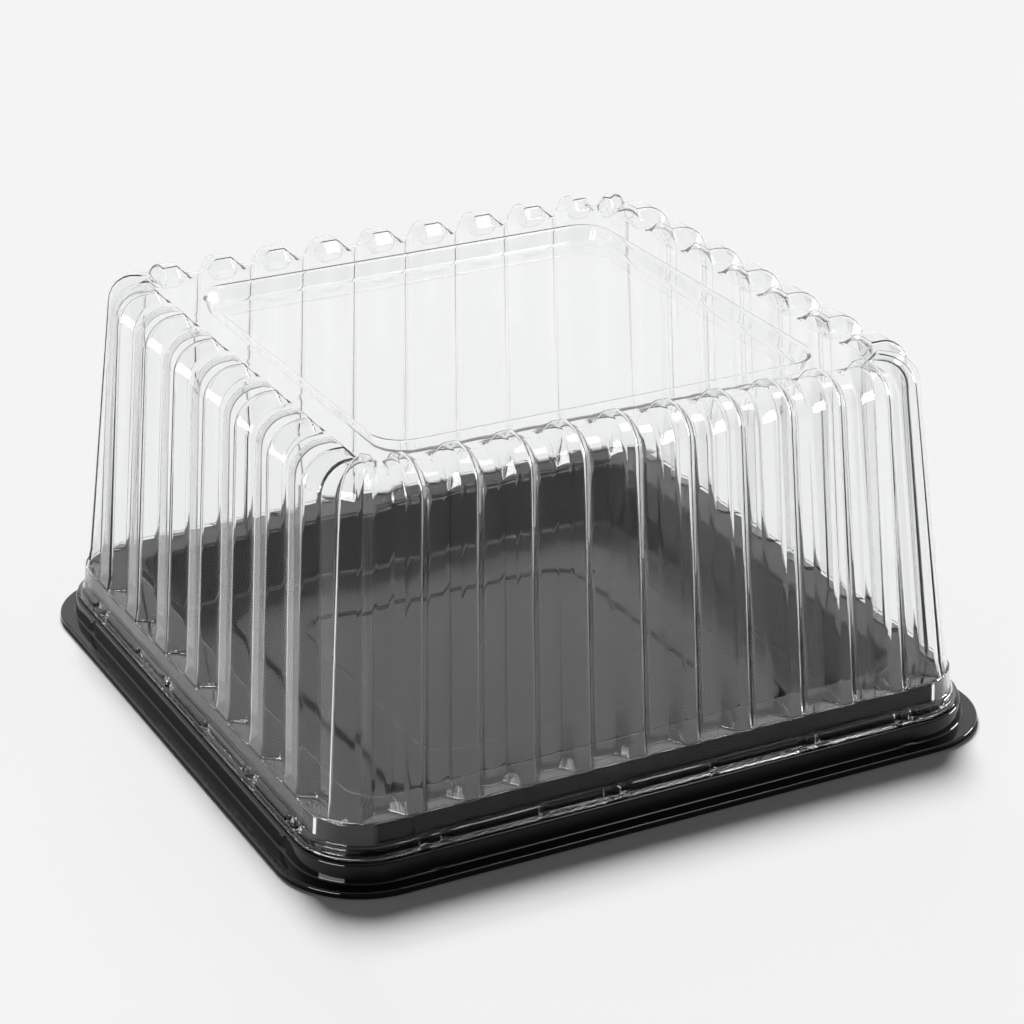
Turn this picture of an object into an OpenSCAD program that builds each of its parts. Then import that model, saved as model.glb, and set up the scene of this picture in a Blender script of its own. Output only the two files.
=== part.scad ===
/* [Plan] */
// Width of the clear dome's foot flange, side to side
flange_w = 240; // [200:1:300]
// Corner radius of the foot flange
flange_corner_r = 20; // [17:0.5:26]
// Smallest corner radius of the dome's sunken panel and the tray's well
inner_corner_r = 12; // [8:0.5:16]
// Thickness of the formed sheet
sheet_t = 0.6; // [0.5:0.05:1]

/* [Base tray] */
// Height of the tray's top rim
rim_h = 20; // [17:0.5:26]
// Width of the flat top of the rim
rim_w = 16; // [12:0.5:20]
// Height of the ledge round the outside
ledge_h = 8.6; // [7:0.1:11]
// Reach of the ledge past the foot flange
ledge_reach = 4.2; // [3.6:0.1:6]
// Height of the turned lip at the bottom
lip_h = 2; // [1.5:0.1:3]
// Reach of the bottom lip past the foot flange
lip_reach = 10.5; // [8:0.1:12]
// How far each wall of the tray's two steps leans in from its foot to its top
wall_draft = 0.8; // [0.1:0.1:1.5]
// How far the well's wall leans in from the rim to the channel
well_draft = 11; // [6:0.5:14]
// Width of the channel round the raised floor
moat_w = 15; // [8:0.5:20]
// Rise of the floor above the channel
floor_rise = 2.4; // [1.5:0.1:4]
// Width of the floor's outer band
floor_band_w = 20; // [10:0.5:26]
// Drop of the middle panel below the floor's outer band
panel_drop = 0.9; // [0.5:0.1:1.4]

/* [Dome wall and rim] */
// Height of the dome's flat rim above the table
dome_h = 130; // [110:1:160]
// Distance from the flange edge in to the wall between the ribs
wall_inset = 6.4; // [6.2:0.1:8]
// How far the wall leans in from the flange to the shoulder
wall_lean = 6.4; // [4:0.1:8]
// Radius of the shoulder between the wall and the rim
shoulder_r = 10; // [7:0.5:12]
// Corner radius of the wall at the shoulder
shoulder_corner_r = 22; // [18:0.5:24]
// Distance from the flange edge in to the sunken panel
panel_inset = 40; // [38:0.5:48]
// Depth of the sunken panel below the rim
panel_depth = 6; // [3:0.5:9]

/* [Dome skirt] */
// Clearance between the skirt and the tray
skirt_gap = 0.5; // [0.3:0.05:0.8]
// Height of the skirt's outer band above the tray's ledge
skirt_band_h = 3.6; // [3:0.1:5]
// How far the skirt's outer band stands out
skirt_step = 1.1; // [0.6:0.1:1.6]
// Width of the skirt's bottom lip
skirt_lip_w = 1.8; // [1:0.1:2.2]

/* [Dome ribs] */
// Ribs on the front wall
front_ribs = 10; // [6:1:11]
// Ribs on the right wall
right_ribs = 7; // [5:1:10]
// Ribs on the back wall
back_ribs = 9; // [6:1:11]
// Ribs on the left wall
left_ribs = 7; // [5:1:10]
// Share of the rib pitch that the groove between two ribs takes
groove_share = 0.32; // [0.2:0.01:0.36]
// Width of a rib's slanted flank
flank_w = 4.2; // [3:0.1:4.4]
// Reach of a rib's foot past the wall
foot_depth = 6; // [5:0.1:6.1]
// Height of a rib's flared foot
foot_h = 4.4; // [3:0.1:6]
// Reach of a rib past the wall, above its foot
rib_depth = 5.4; // [4.2:0.1:5.8]
// Reach of a rib past the wall, at the shoulder
rib_top_depth = 3.8; // [3:0.1:4.2]
// How much closer the ribs stand at the shoulder than at the flange
rib_close = 0.07; // [0:0.01:0.09]
// Rise of a rib's pad above the rim
pad_rise = 4; // [3:0.1:5]
// Length of the bevel at the pad's inner end
pad_bevel = 3.4; // [2:0.1:5]

/* [Hidden] */

SIDES = 4;
ARC_STEPS = 6; // facets in each corner of the tray
POST_STEPS = 2; // facets from each corner post's flank to the diagonal
POST_FLANK = 0.5; // share of half a corner post that its flank takes
POST_SHIFT = 0.04; // how far the underside shifts on a corner post's flank, as a share of half the post
STEP_RUN = 0.6; // sideways run of each short slanted step

flange_half = flange_w / 2;
corner_c = flange_half - flange_corner_r; // centre of the outer corner arcs

// Tray, from the outside to the middle
lip_half = flange_half + lip_reach;
ledge_half = flange_half + ledge_reach;
rim_half = flange_half - sheet_t - skirt_gap;
well_half = rim_half - rim_w;
moat_half = well_half - well_draft;
floor_half = moat_half - moat_w;
panel_half = floor_half - floor_band_w;
floor_top = sheet_t + floor_rise;

// Dome, from the skirt to the middle
skirt_half = flange_half + sheet_t; // leans out by one sheet from flange to band
band_half = skirt_half + skirt_step;
skirt_bottom = ledge_h + skirt_gap + sheet_t;
band_top = ledge_h + skirt_band_h;
flange_top = rim_h + sheet_t;
foot_top = flange_top + foot_h;
wall_half = flange_half - wall_inset;
shoulder_half = wall_half - wall_lean;
shoulder_z = dome_h - shoulder_r;
rim_ring_half = shoulder_half - shoulder_r;
pad_half = rim_ring_half - 1;
recess_half = flange_half - panel_inset;
shoulder_e = shoulder_half - shoulder_corner_r; // start of the corner arcs at the shoulder

// Ribs, along the side of the foot flange
row_half = corner_c + 1;
flank_shift = 0.5 * sheet_t; // keeps the sheet's thickness on the flanks

// Corner radius of a ring: concentric with the flange, but never under inner_corner_r
function ring_r(half) = max(half - corner_c, inner_corner_r);

// Sheet underside: each point of an outer path [half, z] moved in by t, mitred at the bends
function normal(a, b) = [b[1] - a[1], a[0] - b[0]] / norm(b - a);
function bend(before, after) = (before + after) / (1 + before * after);
function under(path, t) =
    let (last = len(path) - 1)
    [for (i = [0:last])
        let (before = normal(path[max(i - 1, 0)], path[max(i, 1)]))
        let (after = normal(path[min(i, last - 1)], path[min(i + 1, last)]))
        path[i] - t * bend(before, after)];

// A point of the front side, turned to side 0 front, 1 right, 2 back or 3 left
function turn(p, side) =
    let (a = 90 * side)
    [p[0] * cos(a) - p[1] * sin(a), p[0] * sin(a) + p[1] * cos(a), p[2]];

// Plain rounded square at height z
function plain_ring(half, z) =
    let (r = ring_r(half))
    [for (side = [0:SIDES - 1], k = [0:ARC_STEPS])
        let (a = -90 + 90 * k / ARC_STEPS)
        turn([half - r + r * cos(a), -half + r + r * sin(a), z], side)];

// Stations of one side, [place, share of half a corner post, way the underside shifts, rib height],
// from corner to corner
function rib_stations(count) =
    let (pitch = 2 * row_half / count, groove = pitch * groove_share, w = pitch - groove)
    let (post = row_half + groove / 2, run = (1 - POST_FLANK) / POST_STEPS)
    concat(
        [for (k = [POST_STEPS:-1:0]) [-post, POST_FLANK + run * k, k == 0 ? -1 : 0, 1]],
        [[-post, 0, -1, 0]],
        [for (i = [0:count - 1])
            let (mid = (i + 0.5) * pitch - row_half)
            each [
                [mid - w / 2, 0, 1, 0],
                [mid - w / 2 + flank_w, 0, 1, 1],
                [mid + w / 2 - flank_w, 0, -1, 1],
                [mid + w / 2, 0, -1, 0]]],
        [[post, 0, 1, 0]],
        [for (k = [0:POST_STEPS - 1]) [post, POST_FLANK + run * k, k == 0 ? 1 : 0, 1]]);

// Angle round a corner whose arcs start at e, for a distance x from the middle of the side
function corner_angle(x, e, r) = asin(max(x - e, 0) / r);

// Point of the front side for a station, on a ring whose arcs start at e with radius r. The ribs stand
// upright as far as the shoulder, whose start of arc and radius rings further in share.
function side_point(st, shift, e, r, reach, z) =
    let (arc_e = max(e, shoulder_e))
    let (arc_r = e > shoulder_e + 0.01 ? r + reach : shoulder_corner_r + rib_top_depth)
    let (closer = 1 - rib_close * (corner_c - arc_e) / (corner_c - shoulder_e))
    let (on_post = st[1] > 0, x = closer * abs(st[0] + (on_post ? 0 : shift * st[2])))
    let (a0 = corner_angle(x, arc_e, arc_r))
    let (share = on_post ? st[1] + POST_SHIFT * shift * abs(st[2]) / flank_shift : 0)
    let (a = a0 + (45 - a0) * share)
    let (along = a > 0 ? e + (r + reach * st[3]) * sin(a) : x * e / arc_e)
    [sign(st[0]) * along, -e - (r + reach * st[3]) * cos(a), z];

// Ribbed ring of the dome; row is [half, z, corner radius, rib reach, rib rise]
function ribbed_ring(row, point, shift) =
    [for (side = [0:SIDES - 1])
        for (st = rib_stations([front_ribs, right_ribs, back_ribs, left_ribs][side]))
            turn(
                side_point(st, shift, row[0] - row[2], point[0] - row[0] + row[2], row[3],
                    point[1] + row[4] * st[3]),
                side)];

// Closed sheet between two stacks of rings with the same number of points
module ring_shell(top, low) {
    n = len(top[0]);
    rows = len(top);
    function at(skin, row, k) = (skin * rows + row) * n + k % n;
    function quad(a, b, c, d) = [[a, b, c], [a, c, d]];
    top_faces = [for (i = [0:rows - 2], k = [0:n - 1])
        each quad(at(0, i, k), at(0, i + 1, k), at(0, i + 1, k + 1), at(0, i, k + 1))];
    low_faces = [for (i = [0:rows - 2], k = [0:n - 1])
        each quad(at(1, i, k), at(1, i, k + 1), at(1, i + 1, k + 1), at(1, i + 1, k))];
    edge_faces = [for (k = [0:n - 1])
        each quad(at(0, 0, k), at(0, 0, k + 1), at(1, 0, k + 1), at(1, 0, k))];
    top_cap = [for (k = [n - 1:-1:0]) at(0, rows - 1, k)];
    low_cap = [for (k = [0:n - 1]) at(1, rows - 1, k)];
    polyhedron(
        points = [for (skin = [top, low]) each [for (ring = skin) each ring]],
        faces = concat(top_faces, low_faces, edge_faces, [top_cap], [low_cap]));
}

// Black tray: turned lip, ledge, flat rim, and a well with a channel round its raised floor
module base_tray() {
    path = [
        [lip_half, 0],
        [lip_half, lip_h],
        [ledge_half + wall_draft, lip_h],
        [ledge_half, ledge_h],
        [rim_half + wall_draft, ledge_h],
        [rim_half, rim_h],
        [well_half, rim_h],
        [moat_half, sheet_t],
        [floor_half, sheet_t],
        [floor_half - STEP_RUN, floor_top],
        [panel_half, floor_top],
        [panel_half - STEP_RUN, floor_top - panel_drop]];
    color([0.03, 0.03, 0.035])
        ring_shell(
            [for (p = path) plain_ring(p[0], p[1])],
            [for (p = under(path, sheet_t)) plain_ring(p[0], p[1])]);
}

// Clear dome: skirt over the tray's rim, foot flange, ribbed wall, ring of pads, sunken panel
module dome_lid() {
    half_shoulder = shoulder_r * sin(45);
    foot_share = foot_h / (shoulder_z - flange_top);
    foot_top_half = wall_half - wall_lean * foot_share;
    foot_r = wall_half - corner_c;
    foot_top_r = foot_r + (shoulder_corner_r - foot_r) * foot_share;
    rim_r = shoulder_corner_r - shoulder_r;
    pad_r = pad_half - shoulder_e;
    rows = [
        [band_half + skirt_lip_w, skirt_bottom, ring_r(band_half + skirt_lip_w), 0, 0],
        [band_half, skirt_bottom, ring_r(band_half), 0, 0],
        [band_half, band_top, ring_r(band_half), 0, 0],
        [skirt_half, band_top + STEP_RUN, ring_r(skirt_half), 0, 0],
        [flange_half, flange_top, ring_r(flange_half), 0, 0],
        [wall_half, flange_top, foot_r, foot_depth, 0],
        [foot_top_half, foot_top, foot_top_r, rib_depth, 0],
        [shoulder_half, shoulder_z, shoulder_corner_r, rib_top_depth, 0],
        [rim_ring_half + half_shoulder, shoulder_z + half_shoulder, rim_r + half_shoulder,
            rib_top_depth, pad_rise * sin(45)],
        [rim_ring_half, dome_h, rim_r, rib_top_depth, pad_rise],
        [pad_half, dome_h, pad_r, 0, pad_rise],
        [pad_half - pad_bevel, dome_h, pad_r - pad_bevel, 0, 0],
        [recess_half, dome_h, ring_r(recess_half), 0, 0],
        [recess_half - STEP_RUN, dome_h - panel_depth, ring_r(recess_half), 0, 0]];
    path = [for (row = rows) [row[0], row[1]]];
    low = under(path, sheet_t);
    last = len(rows) - 1;
    color([0.85, 0.88, 0.9, 0.35])
        ring_shell(
            [for (i = [0:last]) ribbed_ring(rows[i], path[i], 0)],
            [for (i = [0:last]) ribbed_ring(rows[i], low[i], flank_shift)]);
}

base_tray();
dome_lid();
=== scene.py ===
# The view: the box stands on a pale table, seen from its front left corner and a little above.
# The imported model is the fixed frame, and sizes come from its two nodes' boxes.
import math

import bpy
from mathutils import Euler, Matrix, Vector


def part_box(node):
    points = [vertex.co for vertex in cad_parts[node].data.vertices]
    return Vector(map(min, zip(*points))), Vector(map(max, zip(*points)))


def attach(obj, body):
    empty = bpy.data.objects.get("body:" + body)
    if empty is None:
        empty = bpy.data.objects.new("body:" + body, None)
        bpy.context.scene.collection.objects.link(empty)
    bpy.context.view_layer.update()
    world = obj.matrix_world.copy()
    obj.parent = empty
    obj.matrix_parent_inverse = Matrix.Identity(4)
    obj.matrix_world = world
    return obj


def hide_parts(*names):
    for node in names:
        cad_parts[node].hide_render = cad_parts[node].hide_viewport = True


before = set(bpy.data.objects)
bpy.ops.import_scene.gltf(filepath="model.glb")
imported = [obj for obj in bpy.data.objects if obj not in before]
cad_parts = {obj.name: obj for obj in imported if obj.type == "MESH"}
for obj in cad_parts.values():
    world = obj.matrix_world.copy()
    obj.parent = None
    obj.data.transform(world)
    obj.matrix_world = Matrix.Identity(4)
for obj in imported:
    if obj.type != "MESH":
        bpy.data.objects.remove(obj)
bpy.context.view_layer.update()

tray_low, tray_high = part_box("base_tray")
dome_low, dome_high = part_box("dome_lid")

VIEW_AZIMUTH = math.radians(-26.84)
VIEW_ELEVATION = math.radians(23.86)
VIEW_ROLL = math.radians(-0.42)
camera_data = bpy.data.cameras.new("view_camera")
camera_data.lens = 107.4
camera_data.sensor_width = 36.0
camera = bpy.data.objects.new("view_camera", camera_data)
bpy.context.scene.collection.objects.link(camera)
camera.matrix_world = (
    Matrix.Translation((-0.4420, -0.8824, 0.4952))
    @ Euler((math.pi / 2 - VIEW_ELEVATION, 0, VIEW_AZIMUTH)).to_matrix().to_4x4()
    @ Matrix.Rotation(VIEW_ROLL, 4, "Z"))
bpy.context.scene.camera = camera
bpy.context.scene.view_settings.view_transform = "Standard"


# The base tray: one sheet of glossy black polyester, vacuum formed over a mould. It has a turned lip,
# a lower wall, a ledge, an upper wall, a flat rim, and a sloping well with a channel round its floor.
MM = 0.001
SHEET = 0.6 * MM
CORNER_R = 20 * MM  # corner of the dome's foot flange, which every outer ring is concentric with
INNER_CORNER_R = 12 * MM
LIP_REACH = 10.5 * MM
LIP_HALF = tray_high.x
FLANGE_HALF = LIP_HALF - LIP_REACH
CORNER_C = FLANGE_HALF - CORNER_R
ARC_LEN = CORNER_R * math.pi / 4
RIM_H = tray_high.z
LEDGE_H = 8.6 * MM
LEDGE_HALF = FLANGE_HALF + 4.2 * MM
LIP_H = 2 * MM
DRAFT = 0.8 * MM
RIM_HALF = FLANGE_HALF - SHEET - 0.5 * MM
WELL_HALF = RIM_HALF - 16 * MM
MOAT_HALF = WELL_HALF - 11 * MM
FLOOR_HALF = MOAT_HALF - 15 * MM
FLOOR_TOP = SHEET + 2.4 * MM
PANEL_HALF = FLOOR_HALF - 20 * MM
PANEL_TOP = FLOOR_TOP - 0.9 * MM
MIDDLE_HALF = 20 * MM  # where the rings end and one flat fan of faces fills the middle
SLACK = 0.1 * MM  # leeway when a height or a half width is compared
WALL_RECESSES = ((-88, -83.4), (89, 94))  # from and to along a side, in mm
RECESS_EDGE = 0.4  # half the length in mm over which a recess steps in
RECESS_STEP = 0.5 * MM


def bend_points(before, corner, after, cut, steps):
    """Points of a round bend that starts and ends at the distance cut from the corner."""
    to_before = (before - corner).normalized()
    to_after = (after - corner).normalized()
    start = corner + to_before * cut
    end = corner + to_after * cut
    weight = math.sqrt(max(0.0, (1 - to_before.dot(to_after)) / 2))
    found = []
    for k in range(steps + 1):
        t = k / steps
        a, b, c = (1 - t) ** 2, 2 * weight * t * (1 - t), t ** 2
        found.append((start * a + corner * b + end * c) / (a + b + c))
    return found


def rounded(keys, steps=5):
    """Path through keys (half width, height, cut) with a round bend at each key between the ends."""
    points = [Vector(k[:2]) for k in keys]
    path = [points[0]]
    for i in range(1, len(keys) - 1):
        path += bend_points(points[i - 1], points[i], points[i + 1], keys[i][2], steps)
    return path + [points[-1]]


def under(path):
    """The sheet's other side: the path moved in by its thickness."""
    moved = []
    for i, point in enumerate(path):
        along = path[min(i + 1, len(path) - 1)] - path[max(i - 1, 0)]
        normal = Vector((along.y, -along.x)).normalized()
        moved.append(point - normal * SHEET)
    return moved


def concentric_r(half):
    """Corner radius of a ring of that half width."""
    return max(half - CORNER_C, INNER_CORNER_R)


def tray_spot(place, half):
    """Point on the tray's front side, for a place along the dome's foot flange."""
    corner_r = concentric_r(half)
    straight = half - corner_r
    angle = math.pi / 4 * max(abs(place) - CORNER_C, 0) / ARC_LEN
    along = abs(place) * straight / CORNER_C if angle == 0 else straight + corner_r * math.sin(angle)
    return math.copysign(along, place), -straight - corner_r * math.cos(angle)


def turned(point, side):
    """A point of the front side on side 0 front, 1 right, 2 back or 3 left."""
    x, y, z = point
    for _ in range(side):
        x, y = -y, x
    return (x, y, z)


def sheet_object(name, top, low, material):
    """A closed sheet between two stacks of rings that have the same number of points."""
    count = len(top[0])
    rows = len(top)
    vertices = [p for ring in top + low for p in ring]
    last = len(vertices)
    vertices.append(tuple(sum(p[i] for p in top[-1]) / count for i in range(3)))
    vertices.append(tuple(sum(p[i] for p in low[-1]) / count for i in range(3)))

    def at(skin, row, k):
        return (skin * rows + row) * count + k % count

    faces = []
    for k in range(count):
        for row in range(rows - 1):
            faces.append((at(0, row, k), at(0, row, k + 1), at(0, row + 1, k + 1), at(0, row + 1, k)))
            faces.append((at(1, row, k), at(1, row + 1, k), at(1, row + 1, k + 1), at(1, row, k + 1)))
        faces.append((at(0, 0, k), at(1, 0, k), at(1, 0, k + 1), at(0, 0, k + 1)))
        faces.append((at(0, rows - 1, k), at(0, rows - 1, k + 1), last))
        faces.append((at(1, rows - 1, k), last + 1, at(1, rows - 1, k + 1)))
    mesh = bpy.data.meshes.new(name)
    mesh.from_pydata(vertices, [], faces)
    mesh.validate()
    mesh.shade_smooth()
    mesh.materials.append(material)
    made = bpy.data.objects.new(name, mesh)
    bpy.context.scene.collection.objects.link(made)
    weighted = made.modifiers.new("even_flats", "WEIGHTED_NORMAL")
    weighted.keep_sharp = True
    weighted.weight = 100
    return made


def sheet_ripple():
    """Node group: the slight waviness and haze of a formed plastic sheet, as a height and a mask."""
    group = bpy.data.node_groups.new("sheet_ripple", "ShaderNodeTree")
    for label, default in (("Wave Size", 60.0), ("Fine Size", 900.0), ("Fine Share", 0.1)):
        socket = group.interface.new_socket(name=label, in_out="INPUT", socket_type="NodeSocketFloat")
        socket.default_value = default
    for label in ("Height", "Haze"):
        group.interface.new_socket(name=label, in_out="OUTPUT", socket_type="NodeSocketFloat")
    nodes, links = group.nodes, group.links
    given = nodes.new("NodeGroupInput")
    result = nodes.new("NodeGroupOutput")
    place = nodes.new("ShaderNodeTexCoord")
    wave = nodes.new("ShaderNodeTexNoise")
    fine = nodes.new("ShaderNodeTexNoise")
    for noise, size in ((wave, "Wave Size"), (fine, "Fine Size")):
        noise.inputs["Detail"].default_value = 2.0
        links.new(place.outputs["Object"], noise.inputs["Vector"])
        links.new(given.outputs[size], noise.inputs["Scale"])
    blend = nodes.new("ShaderNodeMix")
    links.new(given.outputs["Fine Share"], blend.inputs["Factor"])
    links.new(wave.outputs["Fac"], blend.inputs["A"])
    links.new(fine.outputs["Fac"], blend.inputs["B"])
    links.new(blend.outputs["Result"], result.inputs["Height"])
    links.new(fine.outputs["Fac"], result.inputs["Haze"])
    return group


RIPPLE = sheet_ripple()


def add_ripple(material, shader, wave_size, fine_size, fine_share, height, rough_range):
    """Gives a sheet's shader its ripples, and roughness that varies with the haze."""
    nodes, links = material.node_tree.nodes, material.node_tree.links
    ripple = nodes.new("ShaderNodeGroup")
    ripple.node_tree = RIPPLE
    ripple.inputs["Wave Size"].default_value = wave_size
    ripple.inputs["Fine Size"].default_value = fine_size
    ripple.inputs["Fine Share"].default_value = fine_share
    bump = nodes.new("ShaderNodeBump")
    bump.inputs["Strength"].default_value = 1.0
    bump.inputs["Distance"].default_value = height
    links.new(ripple.outputs["Height"], bump.inputs["Height"])
    links.new(bump.outputs["Normal"], shader.inputs["Normal"])
    span = nodes.new("ShaderNodeMapRange")
    span.inputs["To Min"].default_value = rough_range[0]
    span.inputs["To Max"].default_value = rough_range[1]
    links.new(ripple.outputs["Haze"], span.inputs["Value"])
    links.new(span.outputs["Result"], shader.inputs["Roughness"])


def satin_floor(material, shader):
    """Adds the fine grain that the mould leaves inside the well, which blurs what the floor mirrors."""
    nodes, links = material.node_tree.nodes, material.node_tree.links
    place = nodes.new("ShaderNodeTexCoord")
    split = nodes.new("ShaderNodeSeparateXYZ")
    links.new(place.outputs["Object"], split.inputs["Vector"])
    reach = nodes.new("ShaderNodeMath")
    reach.operation = "MAXIMUM"
    for socket, label in enumerate(("X", "Y")):
        size = nodes.new("ShaderNodeMath")
        size.operation = "ABSOLUTE"
        links.new(split.outputs[label], size.inputs[0])
        links.new(size.outputs["Value"], reach.inputs[socket])
    grain = nodes.new("ShaderNodeMapRange")
    grain.inputs["From Min"].default_value = MOAT_HALF
    grain.inputs["From Max"].default_value = WELL_HALF - 3 * MM
    grain.inputs["To Min"].default_value = 0.2
    grain.inputs["To Max"].default_value = 0.0
    links.new(reach.outputs["Value"], grain.inputs["Value"])
    both = nodes.new("ShaderNodeMath")
    both.operation = "ADD"
    links.new(shader.inputs["Roughness"].links[0].from_socket, both.inputs[0])
    links.new(grain.outputs["Result"], both.inputs[1])
    links.new(both.outputs["Value"], shader.inputs["Roughness"])


def black_sheet():
    material = bpy.data.materials.new("black_sheet")
    material.use_nodes = True
    shader = material.node_tree.nodes["Principled BSDF"]
    shader.inputs["Base Color"].default_value = (0.012, 0.012, 0.013, 1)
    shader.inputs["IOR"].default_value = 1.5
    shader.inputs["Specular Tint"].default_value = (0.4, 0.4, 0.4, 1)
    add_ripple(material, shader, 30.0, 400.0, 0.01, 0.00003, (0.03, 0.07))
    satin_floor(material, shader)
    return material


def tray_path():
    """The tray's upper side from the bottom lip's edge to the middle of the floor."""
    return rounded([
        (LIP_HALF, 0),
        (LIP_HALF, LIP_H, 0.7 * MM),
        (LEDGE_HALF + DRAFT, LIP_H, 0.6 * MM),
        (LEDGE_HALF, LEDGE_H, 0.8 * MM),
        (RIM_HALF + DRAFT, LEDGE_H, 0.6 * MM),
        (RIM_HALF, RIM_H, 0.9 * MM),
        (WELL_HALF, RIM_H, 1.5 * MM),
        (MOAT_HALF, SHEET, 2.0 * MM),
        (FLOOR_HALF, SHEET, 1.0 * MM),
        (FLOOR_HALF - 0.8 * MM, FLOOR_TOP, 1.0 * MM),
        (PANEL_HALF, FLOOR_TOP, 0.8 * MM),
        (PANEL_HALF - 1.2 * MM, PANEL_TOP, 0.6 * MM),
        (MIDDLE_HALF, PANEL_TOP)])


def tray_places():
    """Places along a side of the tray from corner to corner, with the lower wall's recesses."""
    corner = [CORNER_C + ARC_LEN * k / 8 for k in range(9)]
    edges = [(place + edge) * MM for recess in WALL_RECESSES for place in recess
             for edge in (-RECESS_EDGE, RECESS_EDGE)]
    return [-c for c in reversed(corner)] + edges + corner[:-1]


def tray_ring(point):
    """Ring of the tray; its lower wall steps in a little at the recesses."""
    half, height = point
    on_wall = LEDGE_HALF - SLACK < half < LEDGE_HALF + DRAFT + SLACK and LIP_H < height
    ring = []
    for side in range(4):
        for place in tray_places():
            recessed = on_wall and any(start < place / MM < end for start, end in WALL_RECESSES)
            ring.append(turned((*tray_spot(place, half - RECESS_STEP * recessed), height), side))
    return ring


upper_path = tray_path()
tray = sheet_object(
    "formed_tray",
    [tray_ring(point) for point in upper_path],
    [tray_ring(point) for point in under(upper_path)],
    black_sheet())
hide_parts("base_tray")
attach(tray, "tray")


# The dome lid: one sheet of clear polyester, vacuum formed. Its skirt snaps over the tray's rim, its
# foot flange rests on it, and ribs that run over the shoulder into raised pads stiffen its walls.
SKIRT_HALF = FLANGE_HALF + SHEET
BAND_HALF = SKIRT_HALF + 1.1 * MM
SKIRT_BOTTOM = dome_low.z + SHEET
BAND_TOP = LEDGE_H + 3.6 * MM
FLANGE_TOP = RIM_H + SHEET
PAD_RISE = 4 * MM
RIM_TOP = dome_high.z - PAD_RISE
WALL_HALF = FLANGE_HALF - 6.4 * MM
WALL_LEAN = 6.4 * MM
SHOULDER_R = 10 * MM
SHOULDER_CORNER_R = 22 * MM
FOOT_H = 4.4 * MM
FOOT_DEPTH = 6 * MM
RIB_DEPTH = 5.4 * MM
RIB_TOP_DEPTH = 3.8 * MM
RIB_CLOSE = 0.07  # how much closer the ribs stand at the shoulder than at the flange
SHOULDER_HALF = WALL_HALF - WALL_LEAN
SHOULDER_Z = RIM_TOP - SHOULDER_R
SHOULDER_E = SHOULDER_HALF - SHOULDER_CORNER_R
RIM_RING_HALF = SHOULDER_HALF - SHOULDER_R
PAD_HALF = RIM_RING_HALF - 1 * MM
PAD_END = PAD_HALF - 3.4 * MM
RECESS_HALF = FLANGE_HALF - 40 * MM
RECESS_DEPTH = 6 * MM
GROOVE_SHARE = 0.32
FLANK_W = 4.2 * MM
RIB_COUNTS = (10, 7, 9, 7)  # front, right, back, left
ROW_HALF = CORNER_C + 1 * MM
POST_FLANK = 0.5  # share of half a corner post that its flank takes
SNAP_NOTCHES = (-88.6, -81.2, -46, -22.3, -16.8, 17.4, 51.5, 58.2, 89.3, 95.7)  # along a side, in mm
NOTCH_HALF = 1.3  # in mm
NOTCH_EDGES = (-1.7, -1.1, 1.1, 1.7)  # places of the notch's own mesh lines, in mm from its middle
SHALLOW_BANDS = ((-46, -22.3), (17.4, 51.5))  # from and to along a side, in mm
SHALLOW_SHARE = 0.45


def wall_at(height, reach=0.0):
    """Half width of the wall at a height, reach past the face of its grooves."""
    share = (height - FLANGE_TOP) / (SHOULDER_Z - FLANGE_TOP)
    return WALL_HALF - WALL_LEAN * share + reach


def dome_paths():
    """The dome's upper side from the skirt's lip inwards, along a groove and along a rib's crest."""
    skirt = [
        (BAND_HALF + 1.8 * MM, SKIRT_BOTTOM),
        (BAND_HALF, SKIRT_BOTTOM, 0.5 * MM),
        (BAND_HALF, BAND_TOP, 0.7 * MM),
        (SKIRT_HALF, BAND_TOP + 0.8 * MM, 0.4 * MM)]
    foot_top = FLANGE_TOP + FOOT_H
    groove = [
        (FLANGE_HALF, FLANGE_TOP, 0.9 * MM),
        (WALL_HALF, FLANGE_TOP, 0.9 * MM),
        (wall_at(foot_top), foot_top, 0.8 * MM),
        (wall_at(RIM_TOP), RIM_TOP, 9.2 * MM),
        (PAD_HALF, RIM_TOP, 0.4 * MM),
        (PAD_END, RIM_TOP, 0.8 * MM)]
    crest = [
        (FLANGE_HALF, FLANGE_TOP, 0.25 * MM),
        (WALL_HALF + FOOT_DEPTH, FLANGE_TOP, 0.1 * MM),
        (wall_at(foot_top, RIB_DEPTH), foot_top, 0.8 * MM),
        (wall_at(RIM_TOP, RIB_TOP_DEPTH), RIM_TOP + PAD_RISE, 10.4 * MM),
        (PAD_HALF, RIM_TOP + PAD_RISE, 0.7 * MM),
        (PAD_END, RIM_TOP, 0.8 * MM)]
    panel = [
        (RECESS_HALF, RIM_TOP, 1.4 * MM),
        (RECESS_HALF - 1.2 * MM, RIM_TOP - RECESS_DEPTH, 1.4 * MM),
        (MIDDLE_HALF, RIM_TOP - RECESS_DEPTH)]
    return rounded(skirt + groove + panel, 6), rounded(skirt + crest + panel, 6)


def flank_section():
    """A rib's flank from groove to crest: (place from its foot, height share, slope's sine, cosine)."""
    outline = rounded([
        (-2 * MM, 0),
        (0, 0, 1.2 * MM),
        (FLANK_W, RIB_DEPTH, 1.1 * MM),
        (FLANK_W + 2 * MM, RIB_DEPTH)], 6)
    found = []
    for before, point, after in zip(outline, outline[1:], outline[2:]):
        along = (after - before).normalized()
        found.append((point.x, point.y / RIB_DEPTH, along.y, along.x))
    return found


def band_step(place):
    """How far the skirt's band steps out at a place, from 0 in a snap notch to 1."""
    spot = place / MM
    if any(abs(spot - notch) < NOTCH_HALF for notch in SNAP_NOTCHES):
        return 0.0
    return SHALLOW_SHARE if any(start < spot < end for start, end in SHALLOW_BANDS) else 1.0


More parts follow.
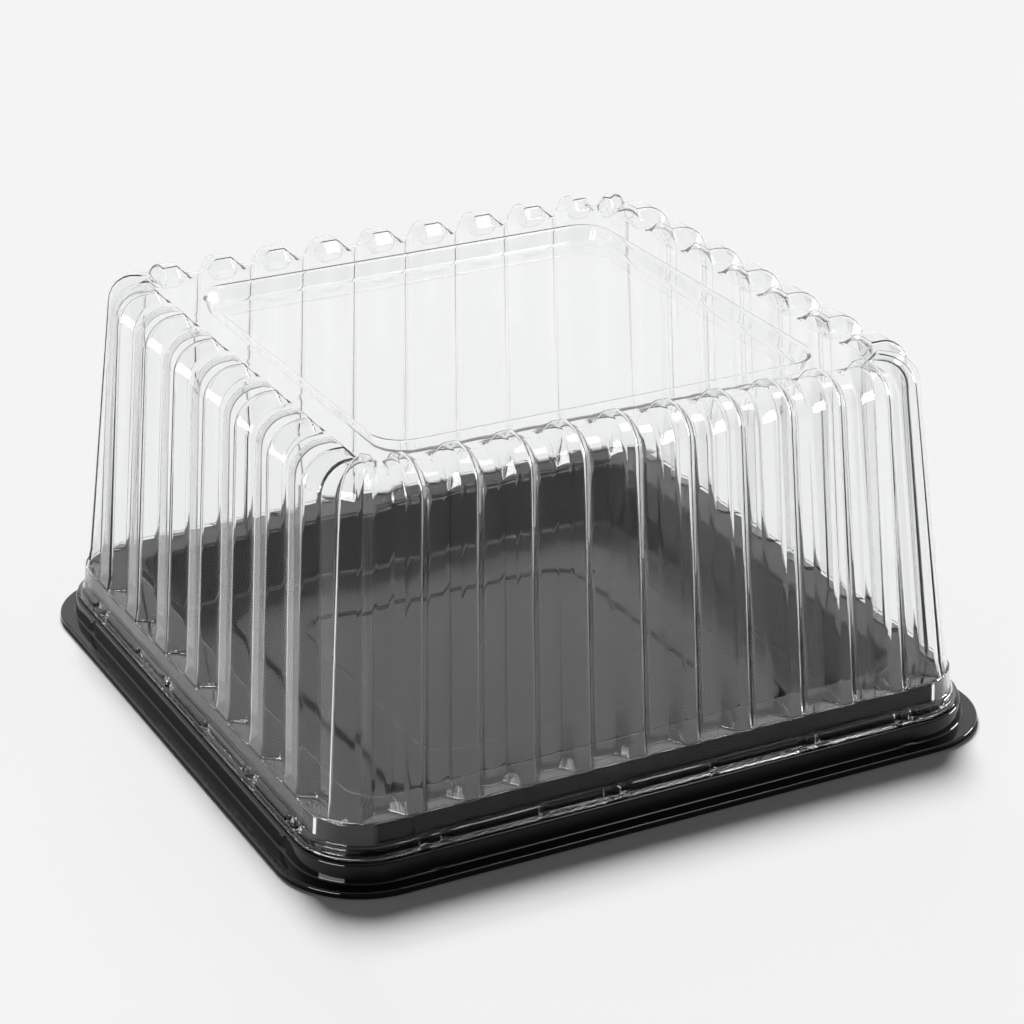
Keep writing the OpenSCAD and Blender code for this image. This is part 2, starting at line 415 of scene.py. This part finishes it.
def notched(stations):
    """The stations with four more at each snap notch, on the line between their neighbours."""
    for place in (notch + edge for notch in SNAP_NOTCHES for edge in NOTCH_EDGES):
        after = next(i for i, station in enumerate(stations) if station[0] > place * MM)
        low, high = stations[after - 1], stations[after]
        share = (place * MM - low[0]) / (high[0] - low[0])
        stations.insert(after, tuple(a + (b - a) * share for a, b in zip(low, high)))
    return stations


def dome_stations(count):
    """A side's stations: (place, share of half a post, rib height, slope's sine, cosine)."""
    pitch = 2 * ROW_HALF / count
    groove = pitch * GROOVE_SHARE
    flank = flank_section()
    row = []
    for i in range(count):
        middle = (i + 0.5) * pitch - ROW_HALF
        foot = middle - (pitch - groove) / 2
        rise = [(foot + x, 0, height, sine, cosine) for x, height, sine, cosine in flank]
        fall = [(2 * middle - x, 0, height, -sine, cosine)
                for x, _, height, sine, cosine in reversed(rise)]
        row += rise + [(middle, 0, 1, 0, 1)] + fall
    post = ROW_HALF + groove / 2
    corner = [(post + min(0, x), max(0, x) / FLANK_W * POST_FLANK, height, sine, cosine)
              for x, height, sine, cosine in flank]
    corner += [(post, POST_FLANK + (1 - POST_FLANK) * share, 1, 0, 1)
               for share in (0.45, 0.7, 0.85, 1)]
    mirrored = [(-x, share, height, -sine, cosine)
                for x, share, height, sine, cosine in reversed(corner)]
    return notched(mirrored + row + corner[:-1])


def dome_spot(station, skin, e, corner_r, groove, crest):
    """A station's point on the front side, on the outer skin or, a sheet further in, the inner one."""
    place, on_post, height, sine, cosine = station
    rise = crest - groove
    here = groove + rise * height
    if rise.length > 0:
        here += rise.normalized() * skin * (1 - cosine)
    flat = SKIRT_HALF - skin
    if flat < here.x < BAND_HALF - skin + SLACK and here.y > SKIRT_BOTTOM - skin + 2 * SLACK:
        here.x = flat + (here.x - flat) * band_step(place)
    inner = e < SHOULDER_E + 0.2 * SLACK
    arc_e = SHOULDER_E if inner else e
    arc_r = SHOULDER_CORNER_R + RIB_TOP_DEPTH if inner else corner_r + crest.x - groove.x
    closer = 1 - RIB_CLOSE * (CORNER_C - arc_e) / (CORNER_C - SHOULDER_E)
    x = closer * abs(place + (0 if on_post else skin * sine))
    angle = math.asin(max(x - arc_e, 0) / arc_r)
    angle += (math.pi / 4 - angle) * on_post + (skin * abs(sine) / arc_r if on_post else 0)
    out = corner_r + here.x - groove.x
    along = e + out * math.sin(angle) if angle > 0 else x * e / arc_e
    return math.copysign(along, place), -e - out * math.cos(angle), here.y


def ring_corner(half):
    """Corner radius of a dome ring: the skirt is concentric, and the wall rounds off upwards."""
    if half >= WALL_HALF:
        return half - CORNER_C
    if half >= SHOULDER_HALF:
        foot_r = WALL_HALF - CORNER_C
        return foot_r + (SHOULDER_CORNER_R - foot_r) * min(1, (WALL_HALF - half) / WALL_LEAN)
    if half >= PAD_END:
        return half - SHOULDER_E
    share = min(1, (PAD_END - half) / (PAD_END - RECESS_HALF))
    return PAD_END - SHOULDER_E + (INNER_CORNER_R - PAD_END + SHOULDER_E) * share


def dome_ring(groove, crest, stations, skin):
    """Ring of the dome through a groove point and a crest point of its two paths."""
    corner_r = ring_corner(groove.x)
    return [turned(dome_spot(station, skin, groove.x - corner_r, corner_r, groove, crest), side)
            for side in range(4) for station in stations[side]]


def clear_sheet(name, bend):
    """Clear glossy polyester. Lamps shine through it, so that it casts only a faint shadow."""
    material = bpy.data.materials.new(name)
    material.use_nodes = True
    nodes, links = material.node_tree.nodes, material.node_tree.links
    shader = nodes["Principled BSDF"]
    shader.inputs["Base Color"].default_value = (0.98, 0.985, 0.985, 1)
    shader.inputs["IOR"].default_value = bend
    shader.inputs["Specular Tint"].default_value = (0.45, 0.45, 0.45, 1)
    shader.inputs["Transmission Weight"].default_value = 1.0
    add_ripple(material, shader, 40.0, 150.0, 0.03, 0.00001, (0.0, 0.012))
    to_lamps = nodes.new("ShaderNodeBsdfTransparent")
    to_lamps.inputs["Color"].default_value = (0.995, 0.995, 0.995, 1)
    light_path = nodes.new("ShaderNodeLightPath")
    mix = nodes.new("ShaderNodeMixShader")
    links.new(light_path.outputs["Is Shadow Ray"], mix.inputs["Fac"])
    links.new(shader.outputs["BSDF"], mix.inputs[1])
    links.new(to_lamps.outputs["BSDF"], mix.inputs[2])
    links.new(mix.outputs["Shader"], nodes["Material Output"].inputs["Surface"])
    return material


groove_path, crest_path = dome_paths()
stations = [dome_stations(count) for count in RIB_COUNTS]
dome = sheet_object(
    "formed_dome",
    [dome_ring(g, c, stations, 0) for g, c in zip(groove_path, crest_path)],
    [dome_ring(g, c, stations, SHEET) for g, c in zip(under(groove_path), under(crest_path))],
    clear_sheet("clear_sheet", 1.5))
dome.data.materials.append(clear_sheet("clear_skirt", 1.16))
for face in dome.data.polygons:
    on_skirt = max(abs(face.center.x), abs(face.center.y)) > FLANGE_HALF - SHEET - SLACK
    on_band = SKIRT_BOTTOM + 0.3 * MM < face.center.z < BAND_TOP - 0.4 * MM
    above_band = BAND_TOP + 1.2 * MM < face.center.z < FLANGE_TOP - 0.8 * MM
    face.material_index = int(on_skirt and (on_band or above_band))
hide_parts("dome_lid")
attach(dome, "lid")


# The floor: a pale matt table top, which carries the box's soft shadow and fills the picture.
FLOOR_REACH = 12.0


def pale_floor():
    material = bpy.data.materials.new("pale_floor")
    material.use_nodes = True
    shader = material.node_tree.nodes["Principled BSDF"]
    shader.inputs["Base Color"].default_value = (0.9, 0.9, 0.9, 1)
    shader.inputs["Roughness"].default_value = 0.9
    shader.inputs["Specular IOR Level"].default_value = 0.0
    return material


floor_mesh = bpy.data.meshes.new("floor")
floor_corners = [(x * FLOOR_REACH, y * FLOOR_REACH, 0)
                 for x, y in ((-1, -1), (1, -1), (1, 1), (-1, 1))]
floor_mesh.from_pydata(floor_corners, [], [(0, 1, 2, 3)])
floor_mesh.materials.append(pale_floor())
floor = bpy.data.objects.new("floor", floor_mesh)
floor.location.z = tray_low.z - 0.2 * MM
bpy.context.scene.collection.objects.link(floor)


# The light: a plain studio. One broad high light behind the box lays its soft shadow on the table,
# three glowing cards give the plastic its highlights, and the surround is white behind the box.
CARD_DISTANCE = 1.5


def only_seen(nodes, links):
    """Output that is 1 for what the camera sees, also in gloss or through clear plastic, else 0."""
    light_path = nodes.new("ShaderNodeLightPath")
    seen = light_path.outputs["Is Camera Ray"]
    for label in ("Is Glossy Ray", "Is Transmission Ray"):
        either = nodes.new("ShaderNodeMath")
        either.operation = "MAXIMUM"
        links.new(seen, either.inputs[0])
        links.new(light_path.outputs[label], either.inputs[1])
        seen = either.outputs["Value"]
    first = nodes.new("ShaderNodeMath")
    first.operation = "LESS_THAN"
    first.inputs[1].default_value = 0.5
    links.new(light_path.outputs["Diffuse Depth"], first.inputs[0])
    shown = nodes.new("ShaderNodeMath")
    shown.operation = "MULTIPLY"
    links.new(seen, shown.inputs[0])
    links.new(first.outputs["Value"], shown.inputs[1])
    return shown.outputs["Value"]


def soft_box(name, azimuth, elevation, size, glow):
    """A glowing card that shows in gloss, at an azimuth (90 is the right) and elevation in degrees."""
    material = bpy.data.materials.new(name)
    material.use_nodes = True
    nodes, links = material.node_tree.nodes, material.node_tree.links
    nodes.remove(nodes["Principled BSDF"])
    emission = nodes.new("ShaderNodeEmission")
    strength = nodes.new("ShaderNodeMath")
    strength.operation = "MULTIPLY"
    strength.inputs[1].default_value = glow
    links.new(only_seen(nodes, links), strength.inputs[0])
    links.new(strength.outputs["Value"], emission.inputs["Strength"])
    links.new(emission.outputs["Emission"], nodes["Material Output"].inputs["Surface"])
    wide, tall = size[0] / 2, size[1] / 2
    card = bpy.data.meshes.new(name)
    card_corners = [(-wide, -tall, 0), (wide, -tall, 0), (wide, tall, 0), (-wide, tall, 0)]
    card.from_pydata(card_corners, [], [(0, 1, 2, 3)])
    card.materials.append(material)
    holder = bpy.data.objects.new(name, card)
    bpy.context.scene.collection.objects.link(holder)
    turn, lift = math.radians(azimuth), math.radians(elevation)
    way = Vector((math.sin(turn) * math.cos(lift), -math.cos(turn) * math.cos(lift), math.sin(lift)))
    holder.location = way * CARD_DISTANCE
    holder.rotation_euler = way.to_track_quat("Z", "Y").to_euler()
    holder.visible_camera = False
    holder.visible_diffuse = False
    holder.visible_shadow = False


soft_box("left_box", -70, 9, (0.95, 0.5), 30)
soft_box("right_box", 82, 8, (0.5, 0.42), 30)
soft_box("over_box", 65, 62, (0.6, 0.3), 9)

high_light = bpy.data.lights.new("high_light", "SUN")
high_light.energy = 5.35
high_light.angle = math.radians(22)
high_holder = bpy.data.objects.new("high_light", high_light)
bpy.context.scene.collection.objects.link(high_holder)
high_holder.rotation_euler = Vector((0.30, 0.79, 0.53)).to_track_quat("Z", "Y").to_euler()
high_holder.visible_glossy = False
high_holder.visible_transmission = False


def studio_surround():
    """The studio: white behind the box, dark behind the camera, and dim for the light on matt faces."""
    world = bpy.data.worlds.new("studio_surround")
    world.use_nodes = True
    nodes, links = world.node_tree.nodes, world.node_tree.links
    place = nodes.new("ShaderNodeTexCoord")
    toward_back = nodes.new("ShaderNodeVectorMath")
    toward_back.operation = "DOT_PRODUCT"
    toward_back.inputs[1].default_value = (0.45, 0.89, 0)
    links.new(place.outputs["Generated"], toward_back.inputs[0])
    fade = nodes.new("ShaderNodeMapRange")
    fade.interpolation_type = "SMOOTHSTEP"
    fade.inputs["From Min"].default_value = -0.7
    fade.inputs["From Max"].default_value = 0.1
    fade.inputs["To Min"].default_value = 0.06
    fade.inputs["To Max"].default_value = 1.0
    links.new(toward_back.outputs["Value"], fade.inputs["Value"])
    links.new(fade.outputs["Result"], nodes["Background"].inputs["Color"])
    dim = nodes.new("ShaderNodeBackground")
    dim.inputs["Color"].default_value = (0.1, 0.1, 0.1, 1)
    mix = nodes.new("ShaderNodeMixShader")
    links.new(only_seen(nodes, links), mix.inputs["Fac"])
    links.new(dim.outputs["Background"], mix.inputs[1])
    links.new(nodes["Background"].outputs["Background"], mix.inputs[2])
    links.new(mix.outputs["Shader"], nodes["World Output"].inputs["Surface"])
    return world


bpy.context.scene.world = studio_surround()
